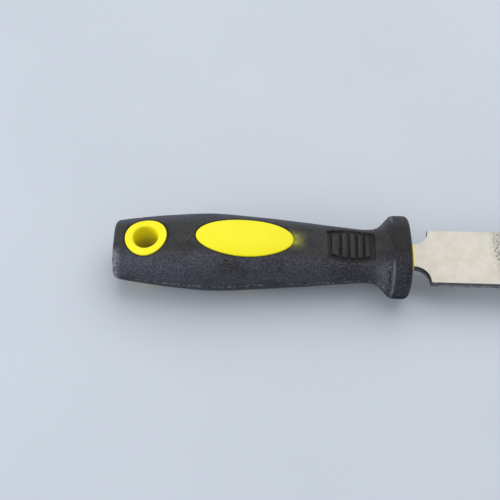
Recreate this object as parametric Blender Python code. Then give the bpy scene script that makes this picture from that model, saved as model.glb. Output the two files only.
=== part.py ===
"""Flat diamond hand file: a steel blade plated with grit, in a two-material handle.

The file lies level. +X runs from the butt to the tip of the blade, +Y across it and +Z up.
The origin is under the middle of the whole tool, on the surface that the handle rests on.
Lengths along the tool are called stations and are measured from the butt.
"""
import math

import bmesh
import bpy
from mathutils import Vector

MM = 0.001

# Driving dimensions
OVERALL_LENGTH = 221.6 * MM
HANDLE_LENGTH = 121.9 * MM
GUARD_HALF_THICKNESS = 13.0 * MM
BLADE_WIDTH = 25.4 * MM
BLADE_THICKNESS = 3.4 * MM
NECK_WIDTH = 10.6 * MM
TANG_LENGTH = 90 * MM
TANG_END_WIDTH = 7 * MM
TANG_TAPER_LENGTH = 20 * MM
SHOULDER_STATION = 128.8 * MM
NOTCH_RADIUS = 6.7 * MM
TIP_RADIUS = 2.0 * MM

# Grit plating: it lies in a shallow seat and its start runs slantwise across the blade
GRIT_START_STATION = 156.7 * MM
GRIT_START_SLANT = 0.085
GRIT_PROUD = 0.3 * MM
GRIT_SEAT_DEPTH = 0.2 * MM

# Handle outline: station, half width, half thickness
HANDLE_STATIONS = (
    (0.0 * MM, 12.3 * MM, 8.4 * MM),
    (6.6 * MM, 13.3 * MM, 9.5 * MM),
    (23.3 * MM, 15.1 * MM, 11.6 * MM),
    (40.3 * MM, 16.1 * MM, 12.6 * MM),
    (58.3 * MM, 14.9 * MM, 12.2 * MM),
    (76.3 * MM, 13.6 * MM, 10.4 * MM),
    (93.3 * MM, 12.2 * MM, 8.5 * MM),
    (102.3 * MM, 11.4 * MM, 8.1 * MM),
    (105.5 * MM, 11.6 * MM, 8.3 * MM),
    (107.7 * MM, 12.4 * MM, 9.2 * MM),
    (109.7 * MM, 14.2 * MM, 10.9 * MM),
    (111.2 * MM, 16.1 * MM, 12.2 * MM),
    (112.7 * MM, 17.2 * MM, 12.8 * MM),
    (114.2 * MM, 17.6 * MM, GUARD_HALF_THICKNESS),
    (117.5 * MM, 17.6 * MM, GUARD_HALF_THICKNESS),
    (HANDLE_LENGTH, 17.3 * MM, 12.8 * MM),
)
SECTION_ROUNDNESS = 2.4
GUARD_START_STATION = 102.6 * MM
BUTT_EDGE_RADIUS = 2.0 * MM
GUARD_EDGE_RADIUS = 2.3 * MM
GUARD_FACE_BULGE = 1.8 * MM
GUARD_FACE_RINGS = (0.7, 0.45)

# The core under the overmould
MOULD_WALL = 2.6 * MM
CORE_END_ROUNDING = 1.5 * MM
CHANNEL_START_STATION = 100.3 * MM
COLLAR_START_STATION = 106.3 * MM
COLLAR_HALF_WIDTH = 5.9 * MM
COLLAR_HALF_THICKNESS = 3.4 * MM
COLLAR_PROUD = 0.4 * MM
GAP = 0.3 * MM

# Features on the handle's two broad faces
EYE_STATION = 13.2 * MM
EYE_FLANGE_RADIUS = 8.5 * MM
EYE_HOLE_RADIUS = 5.15 * MM
EYE_DISH = ((1.0, 0.0 * MM), (0.86, 0.1 * MM), (0.73, 0.4 * MM), (0.66, 0.9 * MM))
EYE_LIP_DEPTH = 1.8 * MM
OVAL_STATION = 53.0 * MM
OVAL_HALF_LENGTH = 19.7 * MM
OVAL_HALF_WIDTH = 8.8 * MM
OVAL_ROUNDNESS = 2.0
OVAL_RINGS = (1.0, 0.75, 0.5, 0.25)
RIB_PANEL_START = 86.5 * MM
RIB_PANEL_END = 105.7 * MM
RIB_PANEL_HALF_WIDTH = 7.9 * MM
RIB_PANEL_END_HALF_WIDTH = 6.3 * MM
RIB_DEPTH = 1.1 * MM
RIB_MARGIN = 1.9 * MM
RIB_STARTS = (88.2 * MM, 92.4 * MM, 95.7 * MM, 98.8 * MM, 101.8 * MM)
RIB_ENDS = (91.2 * MM, 94.6 * MM, 97.8 * MM, 100.8 * MM, 103.7 * MM)

# Mesh fineness
SECTION_SIDES = 44
BODY_RING_STEP = 5.0 * MM
GUARD_RING_STEP = 1.6 * MM
EDGE_RINGS = 4
OUTLINE_SIDES = 36
ARC_STEPS = 8
PANEL_STEPS = 6
CUT_HEIGHT = 20 * MM
CUT_BEYOND = 5 * MM
SMOOTH_ANGLE = math.radians(35)

BUTT_X = -OVERALL_LENGTH / 2
MID_HEIGHT = GUARD_HALF_THICKNESS

# Colour, roughness and metallic value of each piece
FINISHES = {
    "blade": ((0.72, 0.69, 0.62), 0.32, 1.0),
    "diamond_coating": ((0.33, 0.33, 0.31), 0.75, 0.6),
    "handle_core": ((0.95, 0.88, 0.03), 0.38, 0.0),
    "grip_overmould": ((0.035, 0.035, 0.038), 0.7, 0.0),
}


def spline_slopes(rows, column):
    """Slopes at the rows of a cubic that never overshoots between them."""
    steps = []
    rates = []
    for first, second in zip(rows, rows[1:]):
        steps.append(second[0] - first[0])
        rates.append((second[column] - first[column]) / steps[-1])
    slopes = [rates[0]]
    for index in range(1, len(rates)):
        before = rates[index - 1]
        after = rates[index]
        if before * after <= 0:
            slopes.append(0.0)
            continue
        weight_before = 2 * steps[index] + steps[index - 1]
        weight_after = steps[index] + 2 * steps[index - 1]
        total = weight_before + weight_after
        slopes.append(total / (weight_before / before + weight_after / after))
    slopes.append(rates[-1])
    return slopes


HANDLE_SLOPES = {column: spline_slopes(HANDLE_STATIONS, column) for column in (1, 2)}


def handle_size(station):
    """Half width and half thickness of the handle at a station."""
    rows = HANDLE_STATIONS
    station = min(max(station, rows[0][0]), rows[-1][0])
    index = 0
    while index < len(rows) - 2 and station > rows[index + 1][0]:
        index += 1
    span = rows[index + 1][0] - rows[index][0]
    t = (station - rows[index][0]) / span
    sizes = []
    for column in (1, 2):
        slopes = HANDLE_SLOPES[column]
        from_start = rows[index][column] * (2 * t**3 - 3 * t**2 + 1)
        from_end = rows[index + 1][column] * (3 * t**2 - 2 * t**3)
        bend_start = slopes[index] * span * (t**3 - 2 * t**2 + t)
        bend_end = slopes[index + 1] * span * (t**3 - t**2)
        sizes.append(from_start + from_end + bend_start + bend_end)
    return sizes


def face_height(station, y):
    """Height of the handle's broad face above the middle plane."""
    half_width, half_thickness = handle_size(station)
    across = min(abs(y) / half_width, 1.0)
    return half_thickness * (1 - across**SECTION_ROUNDNESS) ** (1 / SECTION_ROUNDNESS)


def rounded(angle, roundness):
    """Point of a unit superellipse at an angle."""
    power = 2 / roundness
    first = math.copysign(abs(math.cos(angle)) ** power, math.cos(angle))
    second = math.copysign(abs(math.sin(angle)) ** power, math.sin(angle))
    return first, second


def evenly(start, end, step):
    """Stations from start to end, both included, about a step apart."""
    count = max(1, round((end - start) / step))
    return [start + (end - start) * index / count for index in range(count + 1)]


def round_edge(radius):
    """Distance from an end face and inset of the section, along a round edge."""
    pairs = []
    for index in range(EDGE_RINGS + 1):
        angle = math.pi / 2 * index / EDGE_RINGS
        pairs.append((radius * (1 - math.cos(angle)), radius * (1 - math.sin(angle))))
    return pairs


def add_body(name, rings, is_tube=False):
    """Closed body through rings of points. A tube joins its last ring to its first."""
    work = bmesh.new()
    loops = [[work.verts.new(point) for point in ring] for ring in rings]
    pairs = list(zip(loops, loops[1:]))
    if is_tube:
        pairs.append((loops[-1], loops[0]))
    else:
        work.faces.new(loops[0])
        work.faces.new(loops[-1])
    for first, second in pairs:
        for index in range(len(first)):
            after = (index + 1) % len(first)
            work.faces.new((first[index], first[after], second[after], second[index]))
    bmesh.ops.recalc_face_normals(work, faces=work.faces)
    mesh = bpy.data.meshes.new(name)
    work.to_mesh(mesh)
    work.free()
    body = bpy.data.objects.new(name, mesh)
    bpy.context.collection.objects.link(body)
    return body


def lofted(name, sizes):
    """Body through superellipse sections, each a station, half width and half thickness."""
    rings = []
    for station, half_width, half_thickness in sizes:
        ring = []
        for index in range(SECTION_SIDES):
            across, up = rounded(2 * math.pi * index / SECTION_SIDES, SECTION_ROUNDNESS)
            height = MID_HEIGHT + half_thickness * up
            ring.append(Vector((BUTT_X + station, half_width * across, height)))
        rings.append(ring)
    return add_body(name, rings)


def prism(name, outline, half_height):
    """Upright body with a plan outline of stations and Y, centred on the middle plane."""
    rings = []
    for height in (MID_HEIGHT - half_height, MID_HEIGHT + half_height):
        rings.append([Vector((BUTT_X + station, y, height)) for station, y in outline])
    return add_body(name, rings)


def combine(target, operation, tool):
    """Cut a tool from the target, or join it, and remove the tool."""
    modifier = target.modifiers.new(tool.name, "BOOLEAN")
    modifier.operation = operation
    modifier.solver = "EXACT"
    modifier.object = tool
    depsgraph = bpy.context.evaluated_depsgraph_get()
    old_mesh = target.data
    new_mesh = bpy.data.meshes.new_from_object(target.evaluated_get(depsgraph))
    target.modifiers.clear()
    target.data = new_mesh
    bpy.data.meshes.remove(old_mesh)
    bpy.data.objects.remove(tool, do_unlink=True)


def oval_outline(station, half_length, half_width, roundness=2.0):
    outline = []
    for index in range(OUTLINE_SIDES):
        along, across = rounded(2 * math.pi * index / OUTLINE_SIDES, roundness)
        outline.append((station + half_length * along, half_width * across))
    return outline


def boss(name, station, outline, profile, is_tube=False):
    """Body that reaches both broad faces of the handle.

    The profile gives rings as a share of the outline and a depth under the handle's surface.
    """
    upper = []
    lower = []
    for share, sink in profile:
        upper_ring = []
        lower_ring = []
        for outline_station, outline_y in outline:
            ring_station = station + (outline_station - station) * share
            y = outline_y * share
            reach = face_height(ring_station, y) - sink
            upper_ring.append(Vector((BUTT_X + ring_station, y, MID_HEIGHT + reach)))
            lower_ring.append(Vector((BUTT_X + ring_station, y, MID_HEIGHT - reach)))
        upper.append(upper_ring)
        lower.append(lower_ring)
    return add_body(name, upper[::-1] + lower, is_tube)


def make_handle_shape():
    """Outer shape of the handle: round butt edge, body, guard and bulged front face."""
    sizes = []
    for distance, inset in round_edge(BUTT_EDGE_RADIUS):
        half_width, half_thickness = handle_size(distance)
        sizes.append((distance, half_width - inset, half_thickness - inset))
    rim_station = HANDLE_LENGTH - GUARD_FACE_BULGE
    body = evenly(BUTT_EDGE_RADIUS, GUARD_START_STATION, BODY_RING_STEP)
    guard = evenly(GUARD_START_STATION, rim_station - GUARD_EDGE_RADIUS, GUARD_RING_STEP)
    for station in body[1:] + guard[1:-1]:
        sizes.append((station, *handle_size(station)))
    for distance, inset in reversed(round_edge(GUARD_EDGE_RADIUS)):
        half_width, half_thickness = handle_size(rim_station - distance)
        sizes.append((rim_station - distance, half_width - inset, half_thickness - inset))
    rim_half_width, rim_half_thickness = sizes[-1][1:]
    for share in GUARD_FACE_RINGS:
        station = rim_station + GUARD_FACE_BULGE * (1 - share**2)
        sizes.append((station, rim_half_width * share, rim_half_thickness * share))
    return lofted("grip_overmould", sizes)


def make_core_shape(name, growth, front_station):
    """Inner shape under the overmould, grown by a clearance."""
    start = MOULD_WALL - growth
    inset = MOULD_WALL - growth
    half_width, half_thickness = handle_size(start)
    end_inset = inset + CORE_END_ROUNDING
    sizes = [(start, half_width - end_inset, half_thickness - end_inset)]
    for station in evenly(start + CORE_END_ROUNDING, CHANNEL_START_STATION, 2 * BODY_RING_STEP):
        half_width, half_thickness = handle_size(station)
        sizes.append((station, half_width - inset, half_thickness - inset))
    collar = (COLLAR_HALF_WIDTH + growth, COLLAR_HALF_THICKNESS + growth)
    sizes.append((COLLAR_START_STATION, *collar))
    sizes.append((front_station, *collar))
    return lofted(name, sizes)


def panel_half_width(station):
    """Half width of the barrel-shaped rib panel."""
    middle = (RIB_PANEL_START + RIB_PANEL_END) / 2
    share = (station - middle) / (RIB_PANEL_END - middle)
    swell = RIB_PANEL_HALF_WIDTH - RIB_PANEL_END_HALF_WIDTH
    return RIB_PANEL_END_HALF_WIDTH + swell * (1 - share**2)


def panel_outline(start, end, steps, margin):
    """Outline of a stretch of the rib panel, a margin inside its edge."""
    stations = [start + (end - start) * index / steps for index in range(steps + 1)]
    far_side = [(station, panel_half_width(station) - margin) for station in stations]
    near_side = [(station, -y) for station, y in far_side]
    return far_side + near_side[::-1]


def make_rib_panel_cutter():
    """Recess on both broad faces that leaves the ribs standing."""
    outline = panel_outline(RIB_PANEL_START, RIB_PANEL_END, PANEL_STEPS, 0)
    cutter = prism("rib_panel", outline, CUT_HEIGHT)
    floor_sizes = []
    stations = evenly(RIB_PANEL_START - CUT_BEYOND, RIB_PANEL_END + CUT_BEYOND, BODY_RING_STEP / 2)
    for station in stations:
        half_width, half_thickness = handle_size(station)
        floor_sizes.append((station, half_width - RIB_DEPTH, half_thickness - RIB_DEPTH))
    combine(cutter, "DIFFERENCE", lofted("rib_floor", floor_sizes))
    for start, end in zip(RIB_STARTS, RIB_ENDS):
        rib = prism("rib", panel_outline(start, end, 1, RIB_MARGIN), 2 * CUT_HEIGHT)
        combine(cutter, "DIFFERENCE", rib)
    return cutter


def tang_outline(growth, front_station):
    """Tang, with a tapered inner end, up to a station in front of it."""
    end = HANDLE_LENGTH - TANG_LENGTH - growth
    half_width = NECK_WIDTH / 2 + growth
    end_half_width = TANG_END_WIDTH / 2 + growth
    far_side = [
        (end, end_half_width),
        (end + TANG_TAPER_LENGTH, half_width),
        (front_station, half_width),
    ]
    near_side = [(station, -y) for station, y in far_side]
    return far_side + near_side[::-1]


def arc(centre_station, centre_y, radius, start_degrees, end_degrees):
    """Points along an arc in plan. 0 degrees points to the tip, 90 degrees to +Y."""
    points = []
    for index in range(ARC_STEPS + 1):
        angle = math.radians(start_degrees + (end_degrees - start_degrees) * index / ARC_STEPS)
        points.append((centre_station + radius * math.cos(angle), centre_y + radius * math.sin(angle)))
    return points


def slanted_start(y):
    """Station where the grit starts, at a place across the blade."""
    return GRIT_START_STATION - GRIT_START_SLANT * y


def bar_outline(start, growth):
    """Outline of the outer part of the blade, from a start that follows the grit's slant."""
    half_width = BLADE_WIDTH / 2 + growth
    end = OVERALL_LENGTH - GRIT_PROUD + growth
    far_start = (slanted_start(half_width) + start, half_width)
    near_start = (slanted_start(-half_width) + start, -half_width)
    corner_station = end - TIP_RADIUS
    corner_y = half_width - TIP_RADIUS
    far_corner = arc(corner_station, corner_y, TIP_RADIUS, 90, 0)
    near_corner = arc(corner_station, -corner_y, TIP_RADIUS, 0, -90)
    return [far_start] + far_corner + near_corner + [near_start]


def make_blade():
    """Steel blank: tang, neck, notched shoulders, plain part and the seat of the grit."""
    half_width = BLADE_WIDTH / 2
    notch_station = SHOULDER_STATION - NOTCH_RADIUS
    notch_y = NECK_WIDTH / 2 + NOTCH_RADIUS
    far_side = tang_outline(0, notch_station)[:2]
    far_side += arc(notch_station, notch_y, NOTCH_RADIUS, -90, 0)
    far_side.append((SHOULDER_STATION, half_width))
    near_side = [(station, -y) for station, y in far_side]
    far_side.append((slanted_start(half_width), half_width))
    near_side.append((slanted_start(-half_width), -half_width))
    blade = prism("blade", far_side + near_side[::-1], BLADE_THICKNESS / 2)
    seat_outline = bar_outline(-CUT_BEYOND, -GRIT_SEAT_DEPTH)
    seat = prism("seat", seat_outline, BLADE_THICKNESS / 2 - GRIT_SEAT_DEPTH)
    combine(blade, "UNION", seat)
    return blade


def make_diamond_coating():
    """Layer of grit around the faces, the edges and the tip of the blade."""
    coating = prism("diamond_coating", bar_outline(0, GRIT_PROUD), BLADE_THICKNESS / 2 + GRIT_PROUD)
    inside = prism("inside", bar_outline(-CUT_BEYOND, 0), BLADE_THICKNESS / 2)
    combine(coating, "DIFFERENCE", inside)
    return coating


def make_handle_core():
    """Hard core around the tang, with the oval panels, the hanging eye and the collar."""
    core = make_core_shape("handle_core", 0, HANDLE_LENGTH + COLLAR_PROUD)
    eye_room = (EYE_FLANGE_RADIUS + EYE_HOLE_RADIUS) / 2
    combine(core, "DIFFERENCE", prism("eye_room", oval_outline(EYE_STATION, eye_room, eye_room), CUT_HEIGHT))
    eye_outline = oval_outline(EYE_STATION, EYE_FLANGE_RADIUS, EYE_FLANGE_RADIUS)
    eye_profile = EYE_DISH + ((EYE_HOLE_RADIUS / EYE_FLANGE_RADIUS, EYE_LIP_DEPTH),)
    combine(core, "UNION", boss("eye", EYE_STATION, eye_outline, eye_profile, is_tube=True))
    oval = oval_outline(OVAL_STATION, OVAL_HALF_LENGTH, OVAL_HALF_WIDTH, OVAL_ROUNDNESS)
    oval_profile = [(share, 0.0) for share in OVAL_RINGS]
    combine(core, "UNION", boss("oval", OVAL_STATION, oval, oval_profile))
    slot_end = HANDLE_LENGTH + CUT_BEYOND
    combine(core, "DIFFERENCE", prism("slot", tang_outline(GAP, slot_end), BLADE_THICKNESS / 2 + GAP))
    return core


def make_grip_overmould():
    """Soft skin over the core, with windows for its features and ribbed thumb panels."""
    overmould = make_handle_shape()
    combine(overmould, "DIFFERENCE", make_core_shape("cavity", GAP, HANDLE_LENGTH + CUT_BEYOND))
    eye = oval_outline(EYE_STATION, EYE_FLANGE_RADIUS + GAP, EYE_FLANGE_RADIUS + GAP)
    combine(overmould, "DIFFERENCE", prism("eye_window", eye, CUT_HEIGHT))
    oval = oval_outline(OVAL_STATION, OVAL_HALF_LENGTH + GAP, OVAL_HALF_WIDTH + GAP, OVAL_ROUNDNESS)
    combine(overmould, "DIFFERENCE", prism("oval_window", oval, CUT_HEIGHT))
    combine(overmould, "DIFFERENCE", make_rib_panel_cutter())
    return overmould


def finish_piece(piece):
    """Give a piece its own material and smooth its round surfaces."""
    colour, roughness, metallic = FINISHES[piece.name]
    material = bpy.data.materials.new(piece.name)
    material.use_nodes = True
    shader = material.node_tree.nodes["Principled BSDF"]
    shader.inputs["Base Color"].default_value = (*colour, 1.0)
    shader.inputs["Roughness"].default_value = roughness
    shader.inputs["Metallic"].default_value = metallic
    piece.data.materials.clear()
    piece.data.materials.append(material)
    piece.data.shade_smooth()
    piece.data.set_sharp_from_angle(angle=SMOOTH_ANGLE)


def main():
    for old_object in list(bpy.data.objects):
        bpy.data.objects.remove(old_object, do_unlink=True)
    for make_piece in (make_blade, make_diamond_coating, make_handle_core, make_grip_overmould):
        finish_piece(make_piece())


main()
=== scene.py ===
"""Looks of the flat diamond hand file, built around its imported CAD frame.

Fine meshes replace the four faceted CAD pieces. Shapes are worked out in millimetres: a station
along the tool from the butt, y across it and z up from its middle plane.
"""

import math

import bmesh
import bpy
import numpy as np
from mathutils import Matrix, Vector


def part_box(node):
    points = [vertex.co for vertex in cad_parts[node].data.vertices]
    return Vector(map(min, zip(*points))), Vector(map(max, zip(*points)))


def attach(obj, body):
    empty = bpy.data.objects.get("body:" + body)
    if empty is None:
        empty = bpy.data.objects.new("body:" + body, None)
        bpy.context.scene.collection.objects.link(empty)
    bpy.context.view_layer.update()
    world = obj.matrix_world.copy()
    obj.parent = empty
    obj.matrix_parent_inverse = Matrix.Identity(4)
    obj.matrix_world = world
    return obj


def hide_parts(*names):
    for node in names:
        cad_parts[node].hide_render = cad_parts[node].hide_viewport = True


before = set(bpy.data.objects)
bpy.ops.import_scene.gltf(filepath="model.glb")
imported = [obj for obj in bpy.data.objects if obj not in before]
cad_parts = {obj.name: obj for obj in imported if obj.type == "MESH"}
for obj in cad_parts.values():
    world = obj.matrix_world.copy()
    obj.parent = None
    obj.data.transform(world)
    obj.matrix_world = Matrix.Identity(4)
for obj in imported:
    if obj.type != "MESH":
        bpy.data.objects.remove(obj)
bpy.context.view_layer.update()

MM = 0.001
BUTT_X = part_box("grip_overmould")[0].x
MID_Z = (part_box("blade")[0].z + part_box("blade")[1].z) / 2
COLLAR_PROUD = 0.4
COLLAR_END = (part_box("handle_core")[1].x - BUTT_X) / MM
HANDLE_END = COLLAR_END - COLLAR_PROUD
TIP = (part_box("diamond_coating")[1].x - BUTT_X) / MM

# Handle outline: station, half width, half thickness
HANDLE_STATIONS = np.array([
    (0.0, 12.3, 8.4),
    (6.6, 13.3, 9.5),
    (23.3, 15.1, 11.6),
    (40.3, 16.1, 12.6),
    (58.3, 14.9, 12.2),
    (76.3, 13.6, 10.4),
    (93.3, 12.2, 8.5),
    (102.3, 11.4, 8.1),
    (105.5, 11.6, 8.3),
    (107.7, 12.4, 9.2),
    (109.7, 14.2, 10.9),
    (111.2, 16.1, 12.2),
    (112.7, 17.2, 12.8),
    (114.2, 17.6, 13.0),
    (117.5, 17.6, 13.0),
    (HANDLE_END, 17.3, 12.8),
])
ROUNDNESS = 2.4
BUTT_EDGE = 2.0
GUARD_EDGE = 2.3
FACE_BULGE = 1.8
FACE_RIM = HANDLE_END - FACE_BULGE
GUARD_START = 102.6

# Mould details of the grip
FLASH_HEIGHT = 0.1
FLASH_WIDTH = 0.2
SEAM_GROOVE = 111.2
SEAM_GROOVE_DEPTH = 0.22
SEAM_GROOVE_WIDTH = 0.45
SEAM_RIDGE = 112.6
SEAM_RIDGE_HEIGHT = 0.16
SEAM_RIDGE_WIDTH = 0.4

# Windows and bosses of the broad faces: station, half length, half width, roundness
EYE = (13.2, 8.5, 8.5, 2.0)
EYE_HOLE = 5.15
EYE_LIP = 0.9
EYE_EDGE = 0.3
EYE_DISH = 0.2
EYE_ROOM = 6.9
OVAL = (53.0, 19.7, 8.8, 2.0)
OVAL_TIP = OVAL[0] + OVAL[1]
OVAL_EDGE = 0.4
OVAL_PROUD = 0.08
OVAL_CROWN = 0.1
WINDOW_GAP = 0.2
WINDOW_LIP = 0.45
EYE_COLUMNS = 41
OVAL_COLUMNS = 71

# Rib panel
PANEL = (86.5, 105.7)
PANEL_HALF = 7.9
PANEL_END_HALF = 6.3
PANEL_DEPTH = 1.1
RIB_MARGIN = 1.9
RIBS = ((88.2, 91.2), (92.4, 94.6), (95.7, 97.8), (98.8, 100.8), (101.8, 103.7))
RIB_HEIGHT = 0.95
RIB_TILT = 0.42
WALL_RUN = 0.12

# Mesh rows of the grip: from the top or window to the ribs' ends, to the panel's edge, to the side
ROW_COUNTS = (22, 10, 26)
EDGE_STEPS = 12

# Core under the grip. FRONT and BACK values are distances from the handle's end
WALL = 2.6
CAVITY_GAP = 0.3
CAVITY_FRONT = 4.5
CORE_FRONT = 3.5
COLLAR_BACK = 5.5
MOUTH_BACK = 6.0
CHANNEL_START = 100.3
COLLAR_START = 106.3
COLLAR = (5.9, 3.4)
COLLAR_EDGE = 0.3
SLOT_GAP = 0.06

# Blade
BLADE_HALF = (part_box("blade")[1].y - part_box("blade")[0].y) / 2 / MM
BLADE_HALF_THICK = (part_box("blade")[1].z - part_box("blade")[0].z) / 2 / MM
NECK_HALF = 5.3
TANG_START = (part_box("blade")[0].x - BUTT_X) / MM
TANG_TAPER = 20
TANG_END_HALF = 3.5
SHOULDER = 128.8
NOTCH = 6.7
BLADE_BEVEL = 0.15
UNDER_GRIT = 1.5
SEAT_INSET = 0.2
SEAT_OVERLAP = 6
SEAT_SHORT = 0.5

# Grit layer, in millimetres and mesh steps
GRIT_SEED = 5
GRIT_START = 156.7
GRIT_SLANT = 0.085
GRIT_PROUD = 0.3
GRIT_SUNK = 0.08
GRIT_BUMPS = (-0.09, 0.05)
GRIT_END_GAP = 0.12
GRIT_ACROSS = 100
GRIT_EDGE = 12
GRIT_ALONG = 250
GRAINS_PER_FACE = 420
GRAIN_SIZE = (0.07, 0.16)
GRAIN_SIDES = 5
TIP_CORNER = 2.0

# Wear and painted light and shade of the rubber: where they fade in or lie, in tool millimetres
FLANK_FADE = (5, 10)
GUARD_FADE = (109, 113.5)
# Height of a darker band along the parting line
DARK_LINE = -1.2
CHIP_LINE = -1.3
BLOTCH = (48, -12.5)
# Station of the painted glare on the guard's flare
FLARE_GLARE_STATION = 108.2

# Colours
RUBBER_BROWN = (0.0225, 0.0195, 0.0185, 1)
RUBBER_COOL = (0.018, 0.0205, 0.0215, 1)
# Painted blue reflection on the rubber's sides
RUBBER_FLANK_REFLECTION = (0.0255, 0.0248, 0.0375, 1)
RUBBER_PALE_MOTTLE = (0.079, 0.077, 0.103, 1)
# Painted highlight on the ridge of the guard's seam
SEAM_HIGHLIGHT = (0.13, 0.13, 0.15, 1)
# Painted glare on the guard's flare
FLARE_GLARE = (0.08, 0.082, 0.1, 1)
BUTT_DUST = (0.27, 0.27, 0.3, 1)
SMEAR = (0.33, 0.32, 0.045, 1)
SMEAR_CLOSE = (0.5, 0.47, 0.05, 1)
YELLOW = (0.95, 0.85, 0.012, 1)
YELLOW_PALE = (0.96, 0.88, 0.02, 1)
# Painted shade down in the eye's hole
YELLOW_HOLE_SHADE = (0.3, 0.27, 0.03, 1)
YELLOW_STAIN = (0.3, 0.3, 0.03, 1)
STEEL_WARM = (0.66, 0.615, 0.53, 1)
STEEL_PALE = (0.71, 0.675, 0.6, 1)
STEEL_STAIN = (0.4, 0.34, 0.27, 1)
SCALE_DARK = (0.03, 0.03, 0.036, 1)
SCALE_PALE = (0.13, 0.13, 0.14, 1)
# Painted reflection on the lower part of the blade's edges
EDGE_LOW_REFLECTION = (0.3, 0.32, 0.36, 1)
EDGE_NICK = (0.55, 0.52, 0.47, 1)
# Grit: painted shade in the hollows, pale plate, painted shadows between grains and painted glints
GRIT_HOLLOW_SHADE = (0.2, 0.2, 0.19, 1)
GRIT_PLATE = (0.68, 0.655, 0.58, 1)
GRIT_SHADOW = (0.09, 0.1, 0.09, 1)
GRIT_GLINT = (0.95, 0.94, 0.88, 1)
FLOOR_COOL = (0.56, 0.6, 0.66, 1)
FLOOR_PALE = (0.58, 0.62, 0.68, 1)

# Floor and lights in metres. A light: place, size, power, colour
FLOOR_HALF = 3.0
FLOOR_DROP = 0.0002
KEY_LIGHT = ((0.22, 0.5, 0.95), 1.3, 7.2, (1.0, 0.985, 0.96))
WINDOW_LIGHT = ((-1.0, -0.3, 0.32), 0.5, 6.0, (0.92, 0.955, 1.0))
SKY_COLOR = (0.93, 0.96, 1.0, 1)
SKY_STRENGTH = 0.58

# Camera: places in metres, lens and sensor in millimetres, roll in degrees
CAMERA_PLACE = (-0.06148, -0.24208, 0.37456)
CAMERA_TARGET = (-0.05548, 0.00147, 0.013)
CAMERA_ROLL = 2.83
CAMERA_LENS = 76.47
CAMERA_SENSOR = 36
CAMERA_NEAR = 0.01


# ---------------------------------------------------------------- shape rules

def slopes(xs, ys):
    """Slopes of a cubic through the points that never overshoots between them."""
    rates = np.diff(ys) / np.diff(xs)
    steps = np.diff(xs)
    result = np.zeros(len(xs))
    result[0] = rates[0]
    result[-1] = rates[-1]
    for i in range(1, len(rates)):
        if rates[i - 1] * rates[i] > 0:
            before = 2 * steps[i] + steps[i - 1]
            after = steps[i] + 2 * steps[i - 1]
            result[i] = (before + after) / (before / rates[i - 1] + after / rates[i])
    return result


def along_spline(x, xs, ys):
    """Values at x of that cubic."""
    m = slopes(xs, ys)
    x = np.clip(x, xs[0], xs[-1])
    i = np.clip(np.searchsorted(xs, x, side="right") - 1, 0, len(xs) - 2)
    span = xs[i + 1] - xs[i]
    t = (x - xs[i]) / span
    ends = ys[i] * (2 * t**3 - 3 * t**2 + 1) + ys[i + 1] * (3 * t**2 - 2 * t**3)
    return ends + span * (m[i] * (t**3 - 2 * t**2 + t) + m[i + 1] * (t**3 - t**2))


def half_width(s):
    return along_spline(np.asarray(s, float), HANDLE_STATIONS[:, 0], HANDLE_STATIONS[:, 1])


def half_thick(s):
    return along_spline(np.asarray(s, float), HANDLE_STATIONS[:, 0], HANDLE_STATIONS[:, 2])


def face_height(s, y):
    """Height of the handle's broad face above the middle plane."""
    across = np.clip(np.abs(y) / half_width(s), 0, 1)
    return half_thick(s) * (1 - across**ROUNDNESS) ** (1 / ROUNDNESS)


def signed_power(value, power):
    return np.sign(value) * np.abs(value) ** power


def smooth_step(value, run):
    """0 below -run, 1 above run, smooth between."""
    t = np.clip((value + run) / (2 * run), 0, 1)
    return t * t * (3 - 2 * t)


def bell(value, width):
    return np.exp(-((value / width) ** 2))


def window_half(s, window):
    """Half width of a window at a station, 0 outside it."""
    centre, half_length, half, roundness = window
    along = np.clip(np.abs(s - centre) / (half_length + WINDOW_GAP), 0, 1)
    return (half + WINDOW_GAP) * (1 - along**roundness) ** (1 / roundness)


def window_distance(s, y, window):
    """Rough distance outside a window's outline."""
    centre, half_length, half, roundness = window
    a = (s - centre) / (half_length + WINDOW_GAP)
    b = y / (half + WINDOW_GAP)
    level = (np.abs(a) ** roundness + np.abs(b) ** roundness + 1e-12) ** (1 / roundness)
    steep_s = np.abs(a) ** (roundness - 1) / (half_length + WINDOW_GAP)
    steep_y = np.abs(b) ** (roundness - 1) / (half + WINDOW_GAP)
    steep = np.hypot(steep_s, steep_y) * level ** (1 - roundness)
    return (level - 1) / np.maximum(steep, 1e-6)


def panel_half(s):
    """Half width of the barrel-shaped rib panel."""
    middle = (PANEL[0] + PANEL[1]) / 2
    share = np.clip((s - middle) / (PANEL[1] - middle), -1, 1)
    return PANEL_END_HALF + (PANEL_HALF - PANEL_END_HALF) * (1 - share**2)


def panel_relief(s, y):
    """Depth of the rib panel's recess, with the ribs left standing in it."""
    inside = smooth_step(s - PANEL[0], WALL_RUN) * smooth_step(PANEL[1] - s, WALL_RUN)
    inside = inside * smooth_step(panel_half(s) - np.abs(y), WALL_RUN)
    ribs = np.zeros_like(s)
    for start, end in RIBS:
        tilt = 1 - RIB_TILT * np.clip((s - start) / (end - start), 0, 1)
        rib = smooth_step(s - start, WALL_RUN) * smooth_step(end - s, WALL_RUN) * tilt
        ribs = np.maximum(ribs, rib)
    ribs = ribs * smooth_step(panel_half(s) - RIB_MARGIN - np.abs(y), WALL_RUN)
    return PANEL_DEPTH * inside * (1 - RIB_HEIGHT * ribs)


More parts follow.
